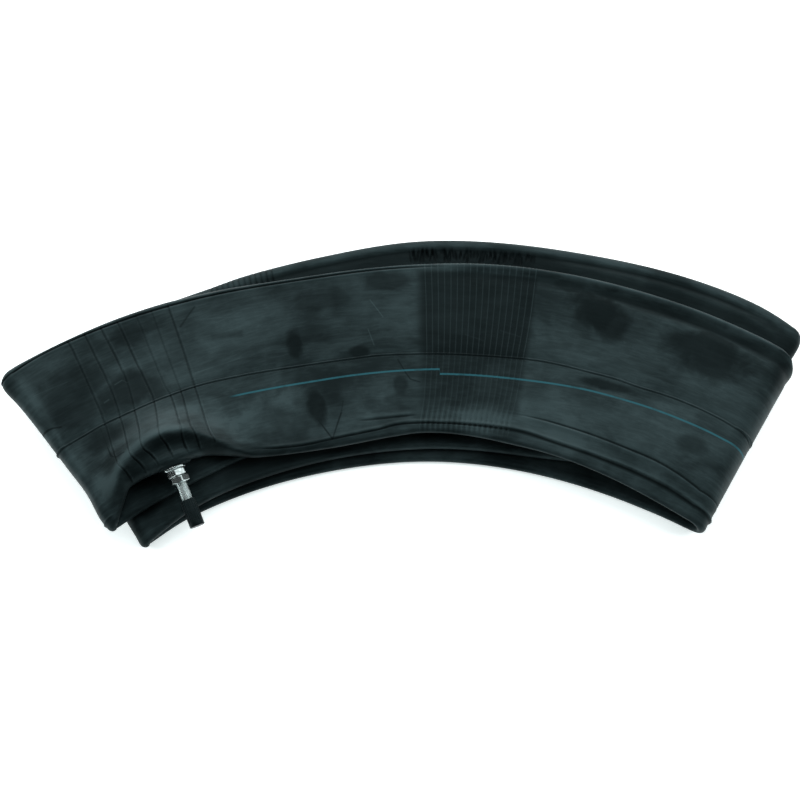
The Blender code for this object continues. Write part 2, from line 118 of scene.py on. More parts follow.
# Cross profiles of the moulded lines: ridges side by side, each as offset from the line, rise and half width
# in mm, and tone, from -1 (dark) to 1 (light): painted shade in the grooves and hollows, painted highlights
# on the ridges and lips, and some dust.
PROFILES = {
    "mid": [(0, 0.35, 0.40, 0.20), (-0.9, -0.30, 0.36, -0.50), (0.8, -0.10, 0.35, -0.20)],
    "inner": [(0, -0.8, 0.45, -0.8), (1.6, 0.5, 1.0, 0.30)],
    "inner dust": [(6.5, 0.0, 4.5, 0.28)],
    "outer": [(0, -0.7, 0.5, -0.9), (-1.5, 0.3, 0.8, 0.35), (1.5, 0.3, 0.9, 0.35)],
    # The rolled outer lip carries a painted highlight, the hollow inside it painted shade.
    "lip": [(3.0, 1.4, 2.6, 0.50)],
    "lip hollow": [(10.5, -1.7, 3.4, -0.75)],
    "flex": [(0, -0.8, 0.55, -0.65), (-2.0, 0.4, 1.6, 0.30)],
    "flex by splice": [(0, -0.6, 0.6, -0.6), (2.0, 0.3, 1.4, 0.35)],
    # Painted highlight along the crest by the valve.
    "crest highlight": [(3.0, 0.0, 3.2, 1.0)],
    # Ribs: painted shade in the grooves, painted highlights on the ridges beside them.
    "rib": [(0, -0.4, 0.6, -0.33), (1.4, 0.2, 0.6, 0.12)],
    "rib inside mid": [(0, -0.4, 0.50, -0.38), (1.1, 0.15, 0.35, 0.15)],
    "rib in valley": [(0, -0.2, 0.5, -0.35), (1.4, 0.2, 0.5, 0.30)],
    # Fine ribs with painted highlights, painted shade between them.
    "fine rib": [(0, 0.32, 0.30, 0.85)],
    "between fine ribs": [(0, -0.15, 0.40, -0.30)],
    "back lip": [(5.2, 0.7, 3.0, 0.30)],
    "back second lip": [(13.0, 0.6, 3.0, 0.30)],
    "back hollow": [(8.8, -0.6, 1.4, -0.45)],
    "back rib": [(0, -0.6, 0.6, -0.55)],
}
# How deep the surface steps down across a line, and over what distance.
MID_STEP = (0.0004, 0.006)
INNER_STEP = (0.0005, 0.002)
FLEX_STEP = (0.0006, 0.004)

# Ribs by the valve, from the tube's inner lip out to its outer edge, each as (radius, angle).
VALVE_RIBS = [
    [(361, -30.6), (369.5, -30.9), (375.5, -31.15), (390, -30.75), (409, -30.1), (429, -29.75),
     (468, -29.26)],
    [(361.5, -29.1), (370.5, -29.35), (376.5, -29.75), (392, -29.2), (409, -28.62), (434, -28.1),
     (471, -27.86)],
    [(361.8, -27.8), (371, -27.95), (377, -28.45), (392, -27.8), (409, -27.2), (435, -26.57), (471, -26.48)],
    [(361, -26.25), (372, -26.2), (378.5, -26.5), (392, -25.9), (409, -25.3), (430, -25.17), (473, -25.11)],
    [(359.5, -24.6), (371, -24.6), (379, -24.3), (395, -23.9), (409, -23.7), (417, -23.82), (440, -23.7),
     (473, -23.57)],
    [(359.5, -23.45), (368.5, -23.3), (376, -23.35), (392, -23.0), (409, -22.7), (440, -22.5), (473, -22.3)],
    [(357.5, -22.05), (363, -21.75), (372, -21.8), (392, -21.55), (409, -21.38), (440, -21.1),
     (472, -20.94)],
]
FAINT_RIBS = (4, 5)
# The first and the last of the fine ribs over the splice; the others are spaced evenly between them.
FIRST_FINE_RIB = [
    (354, -0.89), (363, -0.65), (373, -0.41), (389, -0.24), (407, -0.1), (428, -0.12), (444, -0.13),
    (472, -0.22),
]
LAST_FINE_RIB = [
    (351, 8.24), (362, 8.3), (372, 8.47), (385, 8.58), (407, 8.62), (421, 8.7), (442, 8.73), (473, 8.65),
]
FINE_RIB_COUNT = 18
# Lines that the mesh of layer 1 follows: angle at the middle radius, and the path there (None: radial).
VALVE_GUIDES = list(zip((-30.1, -28.62, -27.2, -25.3, -23.65, -22.7, -21.38), VALVE_RIBS))
FINE_GUIDES = [(-0.10, FIRST_FINE_RIB), (8.63, LAST_FINE_RIB)]
GUIDES = [(-32.6, None), *VALVE_GUIDES, (-19.4, None), (-3.0, None), *FINE_GUIDES, (11.4, None)]

# On layer 2: the ribs in line with those by the valve, and the wrinkles pressed in over the splice.
BACK_RIBS = [-17.2 + 0.45 * k for k in range(12)]
BACK_RIBS_SPAN = (-17.8, -11.6)
WRINKLE_SPAN = (-2.0, 8.6)

# The stiff valve root lifts the inner edge of the top layer into a saddle.
VALVE_ANGLE = -26.3
LIFT_SPREAD = (4.2, 5.5)
EDGE_LIFT = 0.0087
LIFT_DEPTH = 0.38
EDGE_FATTENING = 0.0022
FATTENING_DEPTH = 0.35
CREST = [
    (-34.2, 358.5), (-32.0, 368.5), (-30.8, 373.8), (-29.1, 377.2), (-27.3, 379.0), (-25.9, 379.0),
    (-24.2, 375.8), (-23.3, 372.5), (-21.8, 366.5), (-18.6, 353.0),
]
CREST_RISE = 0.0080
CREST_OUTSIDE = 0.016
CREST_INSIDE = 0.0058
LIP_ROLL = 0.0024
# The steep valley below the crest: its span across (from the crest) and along, and how strong the painted
# shade on it is.
VALLEY_ACROSS = (-0.0118, -0.0004)
VALLEY_ALONG = (-31.8, -20.6)
VALLEY_SHADE = 0.42

# Tips of the folds: share of the width that is rounded, and share of the reach lost there.
TIP_SHARE = 0.08
TIP_LOSS = 0.32
# Height of the moulding lines where they run over a fold.
NIB_HEIGHT = 0.0008
NIB_WIDTH = 0.0007

# At the right-hand end the inner edge of the top layer sags on to the bottom layer.
SAG = 0.007
SAG_START = 12.0
SAG_DEPTH = 0.20

# Valve.
SEAT = Vector((-0.1415, -0.0624, 0.033))
VALVE_AZIMUTH = math.radians(22.95)
VALVE_DIP = math.radians(19.2)
STEM_RADIUS = 0.00385
STEM_TIP = 0.0315
THREAD_PITCH = 0.00079375
THREAD_DEPTH = 0.0003
NUT_FLAT_HALF = 0.0060
NUT_THICKNESS = 0.0042
NUT_BASE = {"inner": 0.0022, "outer": 0.0067}
NUT_TURN = {"inner": math.radians(16), "outer": math.radians(-9)}
CAP_MOUTH = 0.0222
CAP_LENGTH = 0.0178
CAP_RADIUS = 0.00485

# Camera: elevation, distance to the point it looks at, and that point's height.
CAMERA_ELEVATION = math.radians(62)
CAMERA_DISTANCE = 1.8
CAMERA_TARGET_HEIGHT = 0.012

rng = np.random.default_rng(21)


# ---- curves

def curve(points, x):
    """Smooth cubic through (x, y) points at every x; beyond the ends it keeps the end value."""
    px, py = np.array(points, float).T
    first = (py[1] - py[0]) / (px[1] - px[0])
    last = (py[-1] - py[-2]) / (px[-1] - px[-2])
    slopes = np.concatenate(([first], (py[2:] - py[:-2]) / (px[2:] - px[:-2]), [last]))
    x = np.clip(x, px[0], px[-1])
    i = np.clip(np.searchsorted(px, x, side="right") - 1, 0, len(px) - 2)
    span = px[i + 1] - px[i]
    t = (x - px[i]) / span
    return (
        py[i] * (1 + 2 * t) * (1 - t) ** 2
        + py[i + 1] * t * t * (3 - 2 * t)
        + span * slopes[i] * t * (1 - t) ** 2
        - span * slopes[i + 1] * t * t * (1 - t)
    )


def curve_mm(points, x):
    return curve(points, x) * MM


def bell(x):
    return np.exp(-x * x)


def smoothstep(x):
    x = np.clip(x, 0, 1)
    return x * x * (3 - 2 * x)


def within(x, start, end, soft):
    """1 between start and end, fading to 0 over soft on both sides."""
    return smoothstep((x - start) / soft) * smoothstep((end - x) / soft)


class Waves:
    """Smooth random height field made of a few sine waves."""

    def __init__(self, shortest, longest, count):
        length = shortest * (longest / shortest) ** rng.random(count)
        heading = rng.random(count) * math.pi
        kx, ky = (2 * math.pi * part / length for part in (np.cos(heading), np.sin(heading)))
        phase = rng.random(count) * 2 * math.pi
        self.waves = list(zip(kx, ky, phase, length / length.sum()))

    def __call__(self, x, y):
        return sum(size * np.sin(kx * x + ky * y + phase) for kx, ky, phase, size in self.waves)


class Relief:
    """Height in metres over one moulded face, and its tone: painted shade and highlights, and dust."""

    def __init__(self, height):
        self.height = height
        self.dust_and_shade = np.zeros(height.shape)

    def ridge(self, distance, rise, half_width, dust_and_shade, shown=1.0):
        wave = bell(distance / half_width) * shown
        self.height += rise * wave
        self.dust_and_shade += dust_and_shade * wave

    def mould(self, distance, profile, shown=1.0):
        """Adds a profile along the line that lies at distance 0."""
        for offset, rise, half_width, dust_and_shade in PROFILES[profile]:
            self.ridge(distance - offset * MM, rise * MM, half_width * MM, dust_and_shade, shown)

    def step_down(self, distance, step, shown=1.0):
        """Lowers what lies at negative distances."""
        depth, run = step
        self.height -= shown * depth * smoothstep(-distance / run)


broad_waves = Waves(0.030, 0.120, 14)
small_waves = Waves(0.008, 0.025, 16)


# ---- tube

def facing(layer):
    """1 for the layers whose front face looks up, -1 for those turned over."""
    return 1 if layer in (1, 3) else -1


def valve_lift(angle):
    spread = np.where(angle < VALVE_ANGLE, LIFT_SPREAD[0], LIFT_SPREAD[1])
    return bell((angle - VALVE_ANGLE) / spread)


def middle_height(layer, angle, across):
    """Height of a layer's middle surface; across is 0 on the inner edge and 1 on the outer edge."""
    height = LAYER_HEIGHT[layer] + np.zeros(across.shape)
    if layer == 1:
        height += EDGE_LIFT * valve_lift(angle) * bell(across / LIFT_DEPTH)
        along = smoothstep((angle - SAG_START) / (RIGHT_FOLD - SAG_START))
        height -= SAG * along * (1 - smoothstep(across / SAG_DEPTH))
    return height


def half_thickness(layer, angle, across):
    half = LAYER_HALF + np.zeros(across.shape)
    if layer == 1:
        half += EDGE_FATTENING * valve_lift(angle) * bell(across / FATTENING_DEPTH)
    return half


def inner_edge(layer, angle):
    """Radius in metres of a layer's inner edge."""
    return curve_mm(INNER_EDGE[layer], angle)


def outer_edge(layer, angle):
    """Radius in metres of a layer's outer edge, drawn in at the corners of the folded ends."""
    radius = curve(OUTER_EDGE[layer], angle)
    for fold_angle, side_name in ((LEFT_FOLD[layer], "left"), (RIGHT_FOLD, "right")):
        draw, run = OUTER_CORNER[side_name]
        radius = radius - draw * np.clip(1 - np.abs(angle - fold_angle) * ARC_PER_DEGREE / run, 0, 1) ** 2
    return radius * MM


def lean(angle, radius):
    """Degrees by which the mesh's rows turn aside at each radius, so that they run along the ribs."""
    total = np.zeros(radius.shape)
    for before, here, after in zip(GUIDES, GUIDES[1:], GUIDES[2:]):
        at_middle, path = here
        if path is not None:
            share = np.interp(angle, (before[0], at_middle, after[0]), (0, 1, 0))
            total += share[:, None] * (curve(path, radius / MM) - at_middle)
    return total


def gap_to(path_angle, angle, radius):
    """Distance in metres along the tube from a line that lies at path_angle."""
    return np.radians(angle - path_angle) * radius


def top_relief(angle, radius):
    """Moulded lines, ribs, creases and soft waves on the upper face of layer 1, with their painted shade and
    highlights.
    """
    arc = np.radians(angle) * MEAN_RADIUS
    relief = Relief(0.00030 * broad_waves(arc, radius) + 0.00009 * small_waves(arc, radius))

    mid = radius - curve_mm(MID_LINE, angle)
    relief.mould(mid, "mid")
    depth, run = MID_STEP
    relief.height += depth * (smoothstep(mid / run) - 0.5)

    inner = radius - curve_mm(INNER_LINE, angle)
    shown = smoothstep((angle + 18.5) / 3)
    relief.mould(inner, "inner", shown)
    relief.mould(inner, "inner dust", shown * within(angle, -16, 20, 4))
    relief.step_down(inner, INNER_STEP, shown)

    relief.mould(radius - curve_mm(OUTER_LINE, angle), "outer", 1 - smoothstep((angle + 3) / 5))

    # Painted highlight on the rolled outer lip and painted shade in the hollow inside it.
    lip = outer_edge(1, angle) - radius
    shown = smoothstep((angle + 0.5) / 5)
    relief.mould(lip, "lip", shown)
    relief.mould(lip, "lip hollow", shown * (0.3 + 0.7 * within(angle, 11, 31, 4)))

    flex = radius - curve_mm(FLEX_LINE, angle)
    shown = smoothstep((angle - 7.5) / 6)
    relief.mould(flex, "flex", shown)
    relief.step_down(flex, FLEX_STEP, shown)
    relief.mould(flex, "flex by splice", within(angle, -7.2, -1.0, 1.5))

    crest = radius - curve_mm(CREST, angle)
    # Painted shade on the steep valley below the crest.
    valley = within(crest, *VALLEY_ACROSS, 0.0022) * within(angle, *VALLEY_ALONG, 1.2)
    relief.dust_and_shade -= VALLEY_SHADE * valley
    # Painted highlight along the crest.
    relief.mould(crest, "crest highlight", within(angle, -34.0, -23.0, 2.0))
    add_ribs(relief, angle, radius, smoothstep(mid / 0.0008), valley)
    return relief


def add_ribs(relief, angle, radius, above_mid, valley):
    """The ribs by the valve and the fine ribs over the splice, with painted shade in their grooves and
    painted highlights on their ridges; above_mid is 1 outside the middle line.
    """
    below_outer = 1 - smoothstep((radius - 0.4745) / 0.003)
    above_lip = smoothstep((radius - 0.3620) / 0.003)
    for k, path in enumerate(VALVE_RIBS):
        gap = gap_to(curve(path, radius / MM), angle, radius)
        relief.mould(gap, "rib", above_mid * below_outer * (0.55 if k in FAINT_RIBS else 1.0))
        relief.mould(gap, "rib inside mid", (1 - above_mid) * above_lip)
        relief.mould(gap, "rib in valley", (1 - above_mid) * above_lip * valley)

    first, last = (curve(path, radius / MM) for path in (FIRST_FINE_RIB, LAST_FINE_RIB))
    pitch = (last - first) / (FINE_RIB_COUNT - 1)
    fade = smoothstep((radius - 0.348) / 0.005) * (1 - smoothstep((radius - 0.4762) / 0.002))
    for k in range(FINE_RIB_COUNT):
        gap = gap_to(first + pitch * k, angle, radius)
        relief.mould(gap, "fine rib", (0.40 + 0.60 * above_mid) * fade)
        gap = gap_to(first + pitch * (k + 0.5), angle, radius)
        relief.mould(gap, "between fine ribs", (1 - above_mid) * fade)


def saddle(angle, radius):
    """Crest, steep valley and rolled lip that the valve root presses into the upper face of layer 1."""
    crest = radius - curve_mm(CREST, angle)
    strength = within(angle, -35.5, -18.2, 5.0)
    outside = bell(crest / CREST_OUTSIDE)
    inside = bell(crest / CREST_INSIDE)
    rise = CREST_RISE * np.where(crest > 0, outside, inside)
    inner = radius - inner_edge(1, angle)
    roll = LIP_ROLL * bell((inner - 0.0045) / 0.0042) * within(angle, -33.5, -19.5, 4.0)
    return strength * rise + roll


def lower_relief(layer, angle, radius):
    """Waves, lighter and darker bands, and on layer 2 lips with painted highlights and ribs and wrinkles with
    painted shade, on the upward face of a lower layer.
    """
    arc = np.radians(angle) * MEAN_RADIUS
    relief = Relief(0.00025 * broad_waves(arc + layer, radius) + 0.00006 * small_waves(arc, radius + layer))
    # Lighter towards the inner edge here.
    if layer == 3:
        relief.dust_and_shade += 0.5 * within(angle, -25, -9, 4) * (1 - smoothstep((radius - 0.362) / 0.010))
    if layer == 2:
        # Lighter towards its inner edge here.
        relief.dust_and_shade += 0.35 * within(angle, -27, -12, 4) * (1 - smoothstep((radius - 0.375) / 0.010))
        edge = outer_edge(2, angle) - radius
        # Darker away from its own outer edge, next to the edge of layer 1.
        relief.dust_and_shade -= 0.60 * smoothstep((edge - 0.004) / 0.008) * smoothstep((radius - 0.42) / 0.03)
        # Painted highlights on the lips along the outer edge, painted shade in the hollow and in the ribs.
        relief.mould(edge, "back lip")
        relief.mould(edge, "back second lip", within(angle, 9.5, 30, 3))
        relief.mould(edge, "back hollow", within(angle, -14, 27, 3))
        for rib_angle in BACK_RIBS:
            relief.mould(gap_to(rib_angle, angle, radius), "back rib", smoothstep((radius - 0.466) / 0.006))
        add_wrinkles(relief, angle, radius)
    return relief


def face_relief(layer, angle, radius):
    """Relief of a layer's upward face, with the saddle on the top layer."""
    if layer > 1:
        return lower_relief(layer, angle, radius)
    relief = top_relief(angle, radius)
    relief.height += saddle(angle, radius)
    return relief


def add_wrinkles(relief, angle, radius):
    """Short, crowded creases of uneven length and slant, with painted shade in them, over a slightly darker
    strip.
    """
    shown = within(angle, -1.6, 8.6, 0.6)
    relief.dust_and_shade -= 0.12 * shown * within(radius, 0.470, 0.4885, 0.003)
    pick = random.Random(4)
    place = -1.35
    while place < 8.4:
        slant = pick.uniform(-0.16, 0.16)
        foot = pick.uniform(0.4775, 0.4845)
        top = pick.uniform(0.4868, 0.4890)
        half_width = pick.uniform(0.0004, 0.0008)
        line = place + slant * (radius - 0.483) / 0.005
        fall = smoothstep((radius - foot) / 0.003) * (1 - smoothstep((radius - top) / 0.0012))
        relief.ridge(gap_to(line, angle, radius), -0.0009, half_width, pick.uniform(-1.0, -0.4), shown * fall)
        place += pick.uniform(0.10, 0.30)


def spread(length, fine, coarse, dense_run):
    """Fractions from 0 to 1 that step finely near both ends of a gap of this length and coarsely between."""
    dense = np.arange(0, dense_run, fine)
    middle = np.linspace(dense_run, length - dense_run, max(2, int((length - 2 * dense_run) / coarse) + 1))
    places = np.concatenate((dense, middle, length - dense[::-1]))
    return np.unique(np.round(places / length, 6))


END_ROUND = 0.0032
END_TURNS = np.radians((0, 12, 25, 38, 50, 62, 74, 84))
# Steps across the section between the inner round, the four moulding lines and the outer round.
TO_INNER, TO_FLEX = spread(0.012, 0.0005, 0.0013, 0.0020), spread(0.043, 0.0004, 0.0020, 0.0024)
TO_OUTER = spread(0.062, 0.0004, 0.0021, 0.0024)
FRONT_STEPS = [np.linspace(0, 1, 4), TO_INNER, TO_FLEX, TO_OUTER, np.linspace(0, 1, 4)]
BACK_STEPS = [np.linspace(0, 1, count) for count in (3, 6, 8, 0, 3)]
BACK_STEPS[3] = np.concatenate((np.linspace(0, 0.56, 6), np.linspace(0.60, 1, 17)))


def flat_radii(layer, angle, steps):
    """Radii of the columns between the rounded ends, for every angle, following the moulding lines."""
    inner = inner_edge(layer, angle) + END_ROUND
    outer = outer_edge(layer, angle) - END_ROUND
    if layer == 1:
        lines = [curve_mm(line, angle) for line in (INNER_LINE, FLEX_LINE, MID_LINE, OUTER_LINE)]
    else:
        span = outer - inner
        lines = [inner + 0.02 * span, inner + 0.12 * span, inner + 0.48 * span, outer - 0.02 * span]
    lines[0] = np.maximum(lines[0], inner + 0.0008)
    lines[1] = np.maximum(lines[1], lines[0] + 0.006)
    lines[3] = np.minimum(lines[3], outer - 0.0008)
    anchors = [inner, *lines, outer]
    columns = [anchors[0]]
    for k, fractions in enumerate(steps):
        for fraction in fractions[1:]:
            columns.append(anchors[k] + (anchors[k + 1] - anchors[k]) * fraction)
    return np.stack(columns, axis=1)


def section(layer, angle):
    """Radii of the flattened section at each angle, its offset (1 on the front face, -1 on the back) and how
    far across it each point is."""
    inner = inner_edge(layer, angle)[:, None]
    outer = outer_edge(layer, angle)[:, None]
    start = inner + END_ROUND * (1 - np.cos(END_TURNS))
    end = outer - END_ROUND * (1 - np.cos(END_TURNS[::-1]))
    front = flat_radii(layer, angle, FRONT_STEPS)
    back = flat_radii(layer, angle, BACK_STEPS)[:, ::-1]
    radius = np.concatenate((start, front, end, end[:, ::-1][:, 1:], back, start[:, ::-1][:, :-1]), axis=1)
    turn = np.sin(END_TURNS)
    ends = (turn, np.ones(front.shape[1]), turn[::-1], -turn[1:], -np.ones(back.shape[1]), -turn[::-1][:-1])
    side = np.broadcast_to(np.concatenate(ends), radius.shape)
    across = (radius - inner) / (outer - inner)
    return radius, side, across


def plan_point(angle, radius, height):
    radians = np.radians(angle)
    x = PLAN_CENTRE[0] + np.sin(radians) * radius
    y = PLAN_CENTRE[1] + np.cos(radians) * radius
    return np.stack((x, y, np.broadcast_to(height, np.broadcast(radius, angle).shape)), axis=-1)


def layer_rows(layer, angles):
    """Sections of a layer, one row for each angle: points, plan angle, plan radius, tone (painted shade and
    highlights, and dust) and share of top.
    """
    radius, side, across = section(layer, angles)
    column = angles[:, None] + (lean(angles, radius) if layer == 1 else np.zeros(radius.shape))
    height = middle_height(layer, column, across)
    offset = half_thickness(layer, column, across) * side
    upper = np.clip(side * facing(layer), 0, 1)
    relief = face_relief(layer, column, radius)
    fade = 1.0
    if layer == 1:
        tilt = math.tan(VALVE_DIP) * valve_lift(column) * bell((radius - inner_edge(1, column)) / 0.006)
        radius = radius - tilt * offset
    else:
        fade = within(column, LEFT_FOLD[1] - 0.4, RIGHT_FOLD + 0.4, 2.0)
    points = plan_point(column, radius, height + facing(layer) * offset + upper * relief.height * fade)
    return points, column, radius, upper * relief.dust_and_shade, upper * (layer == 1)


def fold_end(layer, angle):
    """The layer's section where it enters a fold: radius, share across, half thickness, lift and tone
    (painted shade and highlights, and dust) in one array; then the height of its middle and its offset."""
    angles = np.array([angle])
    radius, side, across = section(layer, angles)
    column = np.broadcast_to(angles[:, None], radius.shape)
    upper = np.clip(side * facing(layer), 0, 1)
    relief = face_relief(layer, column, radius)
    lift = upper * relief.height * (layer == 1)
    values = np.stack((radius, across, half_thickness(layer, column, across), lift, upper * relief.dust_and_shade))
    return values, middle_height(layer, column, across), side


def fold_reach(layers, radius, across):
    """How far a fold stands out past its line, a half round that swells here and there and is rounded at its
    tips; and how near each point is to a tip."""
    plain = abs(LAYER_HEIGHT[layers[0]] - LAYER_HEIGHT[layers[1]]) / 2
    tip = np.clip(1 - np.minimum(across, 1 - across) / TIP_SHARE, 0, 1)
    return (plain + curve_mm(FOLD_SWELL[layers], radius / MM)) * (1 - TIP_LOSS * tip ** 2), tip


def fold_rows(layers, side_name, turns):
    """Sections part of the way round the fold between two layers, a row for each turn, as for layer_rows."""
    angle, away = (RIGHT_FOLD, 1) if side_name == "right" else (LEFT_FOLD[layers[0]], -1)
    at_inner, at_outer = FOLD_DRAW[side_name]
    (start, start_height, side), (end, end_height, _) = (fold_end(layer, angle) for layer in layers)
    radians = math.radians(angle)
    along = np.array((math.cos(radians), -math.sin(radians), 0))
    up = np.array((0, 0, 1.0))
    bend = (start_height - end_height) / 2
    top = np.clip(side, 0, 1) * (1 in layers)
    rows = []
    for turn in turns:
        part = (1 - math.cos(turn)) / 2
        radius, across, half, lift, dust_and_shade = (1 - part) * start + part * end
        rise = (start_height + end_height) / 2 + bend * math.cos(turn)
        normal = away * math.cos(turn) * up + np.sign(bend)[..., None] * math.sin(turn) * along
        reach, tip = fold_reach(layers, radius, across)
        reach = reach * math.sin(turn)
        draw = np.where(across < 0.5, at_inner, -at_outer)
        radius = radius + draw * MM * tip * math.sin(turn) ** 2
        offset = half * side + lift + nib_height(layers, radius) * side
        middle = plan_point(angle, radius, rise) + along * away * reach[..., None]
        points = middle + normal * offset[..., None]
        rows.append((points, angle + away * np.degrees(reach / MEAN_RADIUS), radius, dust_and_shade, top))
    return [np.concatenate(parts) for parts in zip(*rows)]


def nib_height(layers, radius):
    """The moulding lines stand proud where they run over a fold of the top layer."""
    total = np.zeros(radius.shape)
    angle = RIGHT_FOLD if 4 in layers else LEFT_FOLD[1]
    for line in (MID_LINE, INNER_LINE, OUTER_LINE):
        total += NIB_HEIGHT * bell((radius - curve_mm(line, angle)) / NIB_WIDTH)
    return total * (1 in layers)


# Rows of the mesh on either side of each rib, in degrees.
RIB_OFFSETS = (-0.34, -0.24, -0.16, -0.10, -0.05, 0, 0.05, 0.10, 0.16, 0.24, 0.34)
FINE_RIB_OFFSETS = (-0.08, -0.035, 0, 0.035, 0.08)


def outside(values, *spans):
    """The values that lie in none of the spans."""
    for start, end in spans:
        values = values[(values <= start) | (values >= end)]
    return values


def layer_angles(layer):
    """Angles of a layer's rows, close together where it has ribs, wrinkles or a fold."""
    left, right = LEFT_FOLD[layer], RIGHT_FOLD
    if layer == 1:
        first, last = VALVE_GUIDES[0][0], VALVE_GUIDES[-1][0]
        fine = np.linspace(FINE_GUIDES[0][0], FINE_GUIDES[1][0], 2 * FINE_RIB_COUNT - 1)
        plain = outside(np.linspace(left, right, 290), (first, last), (fine[0] - 0.1, fine[-1] + 0.1))
        ribs = [at_middle + offset for at_middle, path in VALVE_GUIDES for offset in RIB_OFFSETS]
        fine_ribs = [place + offset for place in fine for offset in FINE_RIB_OFFSETS]
        angles = np.concatenate((plain, ribs, np.linspace(first, last, 50), fine_ribs))
    elif layer == 2:
        plain = outside(np.linspace(left, right, 90), BACK_RIBS_SPAN, WRINKLE_SPAN)
        angles = np.concatenate((plain, np.arange(*BACK_RIBS_SPAN, 0.09), np.arange(*WRINKLE_SPAN, 0.048)))
    else:
        angles = np.linspace(left, right, 80)
    near_end = np.array((0, 0.12, 0.27, 0.45, 0.7, 1.0))
    angles = np.unique(np.round(np.concatenate((angles, left + near_end, right - near_end)), 4))
    return angles[::-1] if layer in (2, 4) else angles


def build_mesh(name, points, faces, smooth_angle=None):
    mesh = bpy.data.meshes.new(name)
    mesh.from_pydata(np.asarray(points, float).tolist(), [], [tuple(face) for face in faces])
    mesh.update()
    mesh.shade_smooth()
    if smooth_angle is not None:
        mesh.set_sharp_from_angle(angle=math.radians(smooth_angle))
    obj = bpy.data.objects.new(name, mesh)
    bpy.context.scene.collection.objects.link(obj)
    return obj


def grid_faces(rows, columns, close_rows):
    """Vertex indices of the quads of a grid that closes on itself across its columns, and maybe its rows."""
    i, j = np.meshgrid(np.arange(rows if close_rows else rows - 1), np.arange(columns), indexing="ij")
    i, j = i.ravel(), j.ravel()
    ii, jj = (i + 1) % rows, (j + 1) % columns
    return np.stack((i * columns + j, i * columns + jj, ii * columns + jj, ii * columns + j), axis=1)


def add_field(obj, name, kind, values):
    field = obj.data.attributes.new(name, kind, "POINT")
    key = "vector" if kind == "FLOAT_VECTOR" else "value"
    field.data.foreach_set(key, np.ravel(values).astype(np.float32))


def make_tube_skin():
    """The whole rubber loop, with fields for its material: plan holds the angle, and in mm the radius and the
    distance from the printed line; a float field holds the painted shade and highlights and the dust; top is
    1 on the top layer's upper face."""
    turns = np.linspace(0, math.pi, 16)[1:-1]
    runs = []
    for layers, side_name in (((1, 4), "right"), ((4, 3), "left"), ((3, 2), "right"), ((2, 1), "left")):
        runs.append(layer_rows(layers[0], layer_angles(layers[0])))
        runs.append(fold_rows(layers, side_name, turns))
    points, angle, radius, dust_and_shade, top = (np.concatenate(parts) for parts in zip(*runs))
    points[..., 2] = np.maximum(points[..., 2], 0)
    faces = grid_faces(*radius.shape, True)
    obj = build_mesh("tube_skin", points.reshape(-1, 3), faces[:, ::-1])
    line = np.where(angle < SPLICE_ANGLE, curve(INK_LINE, angle), curve(INK_LINE_AFTER_SPLICE, angle))
    add_field(obj, "plan", "FLOAT_VECTOR", np.stack((angle, radius / MM, radius / MM - line), axis=-1))
    # Painted shade and highlights, and dust, for the material.
    add_field(obj, "dust_and_shade", "FLOAT", dust_and_shade)
    add_field(obj, "top", "FLOAT", top)
    return obj


# ---- valve

valve_turn = Euler((math.pi / 2 + VALVE_DIP, 0, VALVE_AZIMUTH))
valve_matrix = Matrix.Translation(SEAT) @ valve_turn.to_matrix().to_4x4()


def to_world(points):
    matrix = np.array(valve_matrix)
    points = np.asarray(points, float).reshape(-1, 3)
    return points @ matrix[:3, :3].T + matrix[:3, 3]


def lathe(name, profile, count, closed, sharp=35, turn=0.0):
    """Body of revolution about the valve's axis from (radius, height) pairs; either may be a function of the
    angle. closed joins the last ring to the first; otherwise both ends are filled."""
    theta = 2 * math.pi * np.arange(count) / count
    rings = []
    for pair in profile:
        radius, height = (value(theta) if callable(value) else np.full(count, value) for value in pair)
        rings.append(np.stack((radius * np.cos(theta + turn), radius * np.sin(theta + turn), height), axis=1))
    faces = list(grid_faces(len(profile), count, closed))
    if not closed:
        faces += [range(count)[::-1], range((len(profile) - 1) * count, len(profile) * count)]
    obj = build_mesh(name, to_world(np.concatenate(rings)), faces, sharp)
    face_outward(obj)
    return obj


def face_outward(obj):
    """Turns every face of a closed mesh outward."""
    shell = bmesh.new()
    shell.from_mesh(obj.data)
    bmesh.ops.recalc_face_normals(shell, faces=shell.faces)
    shell.to_mesh(obj.data)
    shell.free()


def make_stem():
    """Threaded stem with its bore and its flange inside the rubber."""
    bore, seat, mouth = 0.00215, 0.0229, 0.00275
    flange, flange_low, flange_high, base = 0.0050, -0.0024, -0.0014, -0.0034
    run_out_length = 0.0009

    def thread(height):
        def radius(theta):
            phase = (height / THREAD_PITCH - theta / (2 * math.pi)) % 1.0
            tooth = np.clip(1.25 - 2.5 * np.abs(phase - 0.5) * 1.15, 0, 1)
            left = min(1.0, max(0.0, (STEM_TIP - height) / run_out_length))
            return STEM_RADIUS - THREAD_DEPTH + THREAD_DEPTH * tooth * left - 0.0002 * (1 - left)
        return radius

    profile = [(bore, base), (STEM_RADIUS, base), (STEM_RADIUS, flange_low), (flange, flange_low),
               (flange, flange_high), (STEM_RADIUS, flange_high)]
    heights = np.arange(0.0004, STEM_TIP - 0.0002, THREAD_PITCH / 10)
    profile += [(thread(height), height) for height in heights]
    profile += [(STEM_RADIUS - 0.0008, STEM_TIP), (mouth, STEM_TIP), (mouth, seat + 0.0006), (bore, seat)]
    return lathe("valve_stem_threaded", profile, 48, True, sharp=50)


